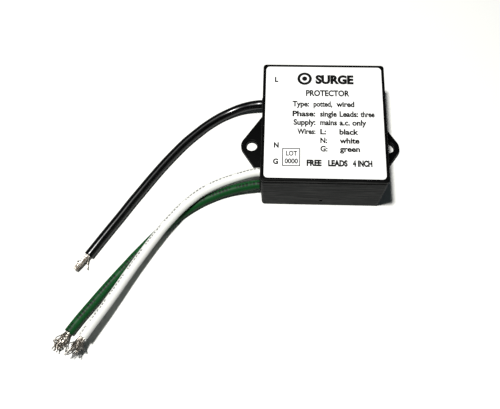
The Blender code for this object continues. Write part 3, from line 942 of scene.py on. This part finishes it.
@dataclass
class Lead:
    """One flying lead: its jacket, the bare strands at its end and its tail in the case.

    Its length is in metres. Its other sizes and its route are in millimetres.
    """

    wire: Wire
    exit_y: float
    length: float
    route: tuple[Triple, ...]
    finish: Insulation
    fray: Fray
    diameter: float = 3.6
    exit_x: float = -23.64
    exit_z: float = 4.8
    straight: float = 1.1
    step: float = 0.8
    curve_parts: int = 30
    swell: float = 0.012  # how much the jacket's radius varies
    swell_rate: float = 160.0
    bore: float = 1.2
    bore_depth: float = 1.6
    rim: float = 0.2
    sides: int = 40
    strand_radius: float = 0.18
    strand_gap: float = 0.04  # between the outermost strands and the bore
    strand_sides: int = 8
    strand_points: int = 20
    strand_held: float = 0.08  # the share of a strand that is inside the bore
    strand_bend: float = 0.7  # how far a strand turns round the bundle, in radians
    bundle_rest: float = 1.35  # the least height of the bundle's middle at its tip
    sharp: float = 50.0  # degrees above which the jacket's shading breaks
    strand_sharp: float = 60.0

    def knots(self) -> list[Vector]:
        """Lay out the route's own points.

        Returns:
            The points in metres, from the case outwards.
        """
        start = Vector((self.exit_x, self.exit_y, self.exit_z))
        points = [start, start - Vector((self.straight, 0.0, 0.0))]
        return [point * MM for point in points + [Vector(point) for point in self.route]]

    def centreline(self) -> list[Vector]:
        """Read points a step apart from the smooth curve through the route.

        Returns:
            The points in metres, from the case outwards.
        """
        knots = self.knots()
        padded = [knots[0] * 2.0 - knots[1]] + knots + [knots[-1] * 2.0 - knots[-2]]
        line = [knots[0]]
        last = knots[0]
        travelled = 0.0
        for before, start, end, after in zip(padded, padded[1:], padded[2:], padded[3:]):
            for part in range(1, self.curve_parts + 1):
                t = part / self.curve_parts
                point = 0.5 * (2.0 * start + (end - before) * t
                               + (2.0 * before - 5.0 * start + 4.0 * end - after) * t * t
                               + (3.0 * start - before - 3.0 * end + after) * t ** 3)
                travelled += (point - last).length
                last = point
                if travelled >= self.step * MM:
                    line.append(point)
                    travelled = 0.0
        line[-1] = knots[-1]
        return line

    def build_jacket(self, line: list[Vector], material: bpy.types.Material) -> bpy.types.Object:
        """Build the jacket, with the open bore that shows at its stripped end.

        Args:
            line: The centreline from the case outwards.
            material: The insulation.

        Returns:
            The jacket.
        """
        radius = self.diameter / 2.0 * MM
        stations = []
        run = 0.0
        for at, point in enumerate(line[:-1]):
            run += (point - line[at - 1]).length if at else 0.0
            swell = noise.noise(Vector((run * self.swell_rate, self.exit_y, 0.0))) * self.swell
            stations.append(Station(point, radius * (1.0 + swell), run))
        end = line[-1]
        heading = (end - line[-2]).normalized()
        run += (end - line[-2]).length
        rim = self.rim * MM
        bore = self.bore * MM
        lip = [(-rim, radius), (-rim * 0.45, radius - rim * 0.16),
               (-rim * 0.12, radius - rim * 0.5), (0.0, radius - rim), (0.0, bore + rim * 0.4),
               (-rim * 0.3, bore), (-self.bore_depth * MM, bore)]
        stations += [Station(end + heading * back, wide, run + back) for back, wide in lip]
        blank = Blank(f"{self.wire.value}_jacket")
        blank.sweep(stations, headings_of(line)[:-1] + [heading] * len(lip), self.sides)
        return blank.finish(material, self.sharp)

    def strand_path(self, order: random.Random, end: Vector, heading: Vector,
                    stray: bool) -> list[Vector]:
        """Lay out one strand.

        Args:
            order: The source of its small differences.
            end: The middle of the jacket's end.
            heading: The jacket's direction at its end.
            stray: Whether it has sprung away from the others.

        Returns:
            The strand's points, from inside the bore outwards.
        """
        level = Vector((heading.x, heading.y, 0.0)).normalized()
        side = level.cross(Vector((0.0, 0.0, 1.0)))
        fray = self.fray
        angle = order.uniform(0.0, math.tau)
        off = (self.bore - self.strand_radius - self.strand_gap) * math.sqrt(order.random())
        reach = fray.length * order.uniform(*fray.reach) * (fray.stray_reach if stray else 1.0)
        hook = fray.hook * order.random() ** 2
        fan = fray.fan * order.uniform(0.5, 1.1)
        fling = order.choice((-1.0, 1.0)) * order.uniform(*fray.fling) if stray else 0.0
        waves = [(order.gauss(0.0, fray.wander), order.uniform(*fray.wave_rates),
                  order.uniform(0.0, math.tau)) for _ in range(4)]
        clear = self.strand_radius * 1.2
        rest = fray.held + order.uniform(clear, clear + fray.pile)
        points = []
        held = self.strand_held
        inside = -0.8 * self.bore_depth
        for step in range(self.strand_points + 1):
            t = step / self.strand_points
            past = max(0.0, (t - held) / (1.0 - held))
            out = inside * (1.0 - t / held) if t < held else reach * (past - hook * past ** 3)
            wide = off * (1.0 + fan * min(1.0, past * 1.8) ** 0.8)
            loose = min(1.0, past * 2.0)
            turn = angle + self.strand_bend * past
            sway = [size * math.sin(rate * past + phase) * loose for size, rate, phase in waves]
            aside = math.cos(turn) * wide + fling * past ** 1.6 + fray.veer * past
            aside += sway[0] + sway[1]
            lift = math.sin(turn) * wide + sway[2] + sway[3]
            middle = end.z / MM * (1.0 - past) + max(self.bundle_rest, rest) * past
            height = max(rest * past + clear * (1.0 - past), middle + lift)
            place = end / MM + level * out + side * aside
            points.append(Vector((place.x, place.y, height)) * MM)
        return points

    def build_strands(self, line: list[Vector], material: bpy.types.Material) -> bpy.types.Object:
        """Build the bare strands.

        Args:
            line: The jacket's centreline.
            material: The tinned copper.

        Returns:
            All the strands as one piece.
        """
        order = random.Random(self.fray.seed)
        end = line[-1]
        heading = (end - line[-2]).normalized()
        blank = Blank(f"{self.wire.value}_strands")
        for number in range(self.fray.count + self.fray.strays):
            path = self.strand_path(order, end, heading, number >= self.fray.count)
            stations = [Station(point, self.strand_radius * MM, at * MM)
                        for at, point in enumerate(path)]
            blank.sweep(stations, headings_of(path), self.strand_sides)
        return blank.finish(material, self.strand_sharp)

    def build(self, copper: bpy.types.Material) -> None:
        """Args:
            copper: The strands' finish.
        """
        name = self.wire.value
        material = self.finish.material()
        line = self.centreline()
        jacket = self.build_jacket(line, material)
        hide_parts(f"{name}_lead_jacket")
        strands = self.build_strands(line, copper)
        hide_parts(f"{name}_lead_strands")
        dress(f"{name}_lead_tail", material)
        dress(f"{name}_lead_core", copper)
        LOG.info("built %s and %s, %.1f mm of jacket", jacket.name, strands.name,
                 sum((b - a).length for a, b in zip(line, line[1:])) / MM)


@dataclass
class Studio:
    """The table, the lights and the camera.

    The key's and the camera's places and the key's size are in millimetres, and the turns
    and the glint's width in degrees.
    """

    table_size: float = 6.0
    key_place: Triple = (-100.0, -45.0, 500.0)
    key_power: float = 3.35
    key_size: float = 50.0
    key_colour: Colour = (1.0, 0.995, 0.975)
    fill_strength: float = 0.035
    fill_colour: Colour = (0.74, 0.92, 1.0)
    glint_from: Triple = (0.03, 0.30, 1.0)
    glint_strength: float = 0.26
    glint_width: float = 22.0
    backdrop: Colour = (0.97, 0.97, 0.96)
    camera_place: Triple = (-17.92, -110.97, 219.19)
    camera_turn: Triple = (21.533, 1.696, 1.915)
    lens: float = 43.27
    film_width: float = 36.0

    def build_table(self) -> None:
        """Build the sheet that the module lies on."""
        half = self.table_size / 2.0
        bm = bmesh.new()
        corners = [(-half, -half), (half, -half), (half, half), (-half, half)]
        bm.faces.new([bm.verts.new((x, y, 0.0)) for x, y in corners])
        mesh = bpy.data.meshes.new("table")
        bm.to_mesh(mesh)
        bm.free()
        mesh.materials.append(TableSheet().material())
        table = bpy.data.objects.new("table", mesh)
        bpy.context.scene.collection.objects.link(table)

    def build_key(self) -> None:
        """Build the key lamp, a small disc whose shadows soften with distance."""
        data = bpy.data.lights.new("key", "AREA")
        data.shape = "DISK"
        data.size = self.key_size * MM
        data.energy = self.key_power
        data.color = self.key_colour
        key = bpy.data.objects.new("key", data)
        key.location = Vector(self.key_place) * MM
        key.rotation_euler = key.location.to_track_quat("Z", "Y").to_euler()
        bpy.context.scene.collection.objects.link(key)

    def build_glint(self) -> None:
        """Build the weak wide light that only the jackets' gloss shows."""
        data = bpy.data.lights.new("glint", "SUN")
        data.energy = self.glint_strength
        data.angle = math.radians(self.glint_width)
        glint = bpy.data.objects.new("glint", data)
        glint.rotation_euler = Vector(self.glint_from).to_track_quat("Z", "Y").to_euler()
        glint.visible_diffuse = False
        shiny = bpy.data.collections.new("glint_receivers")
        for wire in Wire:
            shiny.objects.link(bpy.data.objects[f"{wire.value}_jacket"])
        glint.light_linking.receiver_collection = shiny
        bpy.context.scene.collection.objects.link(glint)

    def build_world(self) -> None:
        """Build the faint light from all round and the pale backdrop that the camera sees."""
        graph = Graph("studio", world=True)
        fill = graph.add("ShaderNodeBackground", {}, {
            "Color": (*self.fill_colour, 1.0), "Strength": self.fill_strength})
        pale = graph.add("ShaderNodeBackground", {}, {"Color": (*self.backdrop, 1.0)})
        seen = graph.add("ShaderNodeLightPath", {}, {}, "Is Camera Ray")
        graph.add_output(graph.add("ShaderNodeMixShader", {}, {0: seen, 1: fill, 2: pale}))
        bpy.context.scene.world = graph.owner

    def build_camera(self) -> None:
        """Build the camera and set how bright values are shown."""
        data = bpy.data.cameras.new("camera")
        data.lens = self.lens
        data.sensor_width = self.film_width
        camera = bpy.data.objects.new("camera", data)
        camera.location = Vector(self.camera_place) * MM
        camera.rotation_euler = [math.radians(turn) for turn in self.camera_turn]
        bpy.context.scene.collection.objects.link(camera)
        scene = bpy.context.scene
        scene.camera = camera
        scene.view_settings.view_transform = "Standard"

    def build(self) -> None:
        """Build the whole studio."""
        self.build_table()
        self.build_key()
        self.build_glint()
        self.build_world()
        self.build_camera()
        LOG.info("built the studio")


REST = 1.85  # the height of a lead's middle where it lies on the table, in millimetres
LEADS = (
    Lead(Wire.LINE, exit_y=17.6, length=0.0955, route=(
        (-28.7, 17.3, 4.1), (-32.9, 16.5, 3.1), (-37.1, 14.9, 2.3), (-41.2, 12.7, 1.95),
        (-45.2, 9.8, REST), (-48.1, 7.3, REST), (-53.8, 1.7, REST), (-58.5, -3.9, REST),
        (-62.7, -9.4, REST), (-66.5, -14.8, REST), (-70.1, -20.2, REST), (-73.7, -25.6, REST),
        (-77.3, -31.3, REST), (-80.9, -36.8, REST), (-84.5, -42.4, REST), (-87.8, -47.6, REST),
    ), finish=Insulation(
        "line_black_insulation", colour=(0.0009, 0.0009, 0.0009), deep=(0.0005, 0.0005, 0.0005),
        roughness=0.21, shine=0.48, relief=0.000003,
    ), fray=Fray(count=44, length=7.4, fan=0.0, wander=0.02, hook=0.0, pile=0.0, strays=3,
                 seed=11, veer=0.8)),
    Lead(Wire.NEUTRAL, exit_y=-13.0, length=0.094, route=(
        (-27.6, -13.7, 4.9), (-31.3, -15.0, 5.1), (-35.3, -16.5, 5.3), (-39.1, -18.2, 5.5),
        (-43.0, -20.3, 5.7), (-46.7, -22.8, 5.8), (-50.2, -25.9, 5.8), (-53.8, -29.6, 5.8),
        (-56.7, -33.2, 5.8), (-59.5, -36.9, 5.7), (-61.9, -40.5, 5.6), (-64.3, -44.2, 5.5),
        (-66.5, -47.8, 5.5), (-68.6, -51.3, 5.6), (-70.6, -54.8, 5.7), (-72.5, -58.2, 5.9),
        (-74.3, -61.6, 6.1), (-76.2, -65.0, 6.3), (-78.1, -68.4, 6.6), (-80.1, -71.8, 6.9),
        (-82.1, -75.2, 7.1), (-84.3, -79.0, 7.3),
    ), finish=Insulation(
        "neutral_white_insulation", colour=(0.88, 0.88, 0.845), deep=(0.82, 0.82, 0.78),
        roughness=0.42, marking=Marking.DOTS, print_colour=(0.24, 0.24, 0.23),
    ), fray=Fray(count=26, length=8.4, fan=0.7, wander=0.50, hook=0.55, pile=2.4, strays=4,
                 seed=23, held=4.6, veer=0.3)),
    Lead(Wire.GROUND, exit_y=-18.2, length=0.094, route=(
        (-27.5, -18.5, 4.3), (-31.4, -19.1, 3.4), (-35.4, -20.0, 2.7), (-39.3, -21.3, 2.2),
        (-43.1, -23.0, 1.9), (-46.5, -24.8, REST), (-50.3, -27.3, REST), (-53.5, -29.8, REST),
        (-56.4, -32.3, REST), (-59.1, -34.9, REST), (-61.5, -37.5, REST), (-64.4, -40.8, REST),
        (-67.3, -44.3, REST), (-70.2, -47.8, REST), (-72.9, -51.3, REST), (-75.6, -54.8, REST),
        (-78.3, -58.3, REST), (-80.9, -61.8, REST), (-83.4, -65.3, REST), (-85.9, -68.8, REST),
        (-88.5, -72.5, REST), (-91.2, -76.7, REST),
    ), finish=Insulation(
        "ground_green_insulation", colour=(0.0042, 0.068, 0.0145), deep=(0.0014, 0.032, 0.005),
        roughness=0.50, marking=Marking.DASHES, print_colour=(0.0006, 0.004, 0.001),
        print_side=0.485, shine=0.17,
    ), fray=Fray(count=26, length=8.4, fan=0.7, wander=0.55, hook=0.55, pile=2.8, strays=3,
                 seed=37, veer=0.3)),
)


def main() -> None:
    """Build every sub-assembly in order, then the studio around them."""
    logging.basicConfig(level=logging.INFO, format="%(name)s: %(message)s")
    Case().build()
    Label().build()
    Inside().build()
    copper = TinnedCopper().material()
    for lead in LEADS:
        lead.build(copper)
    Studio().build()


if __name__ == "__main__":
    main()
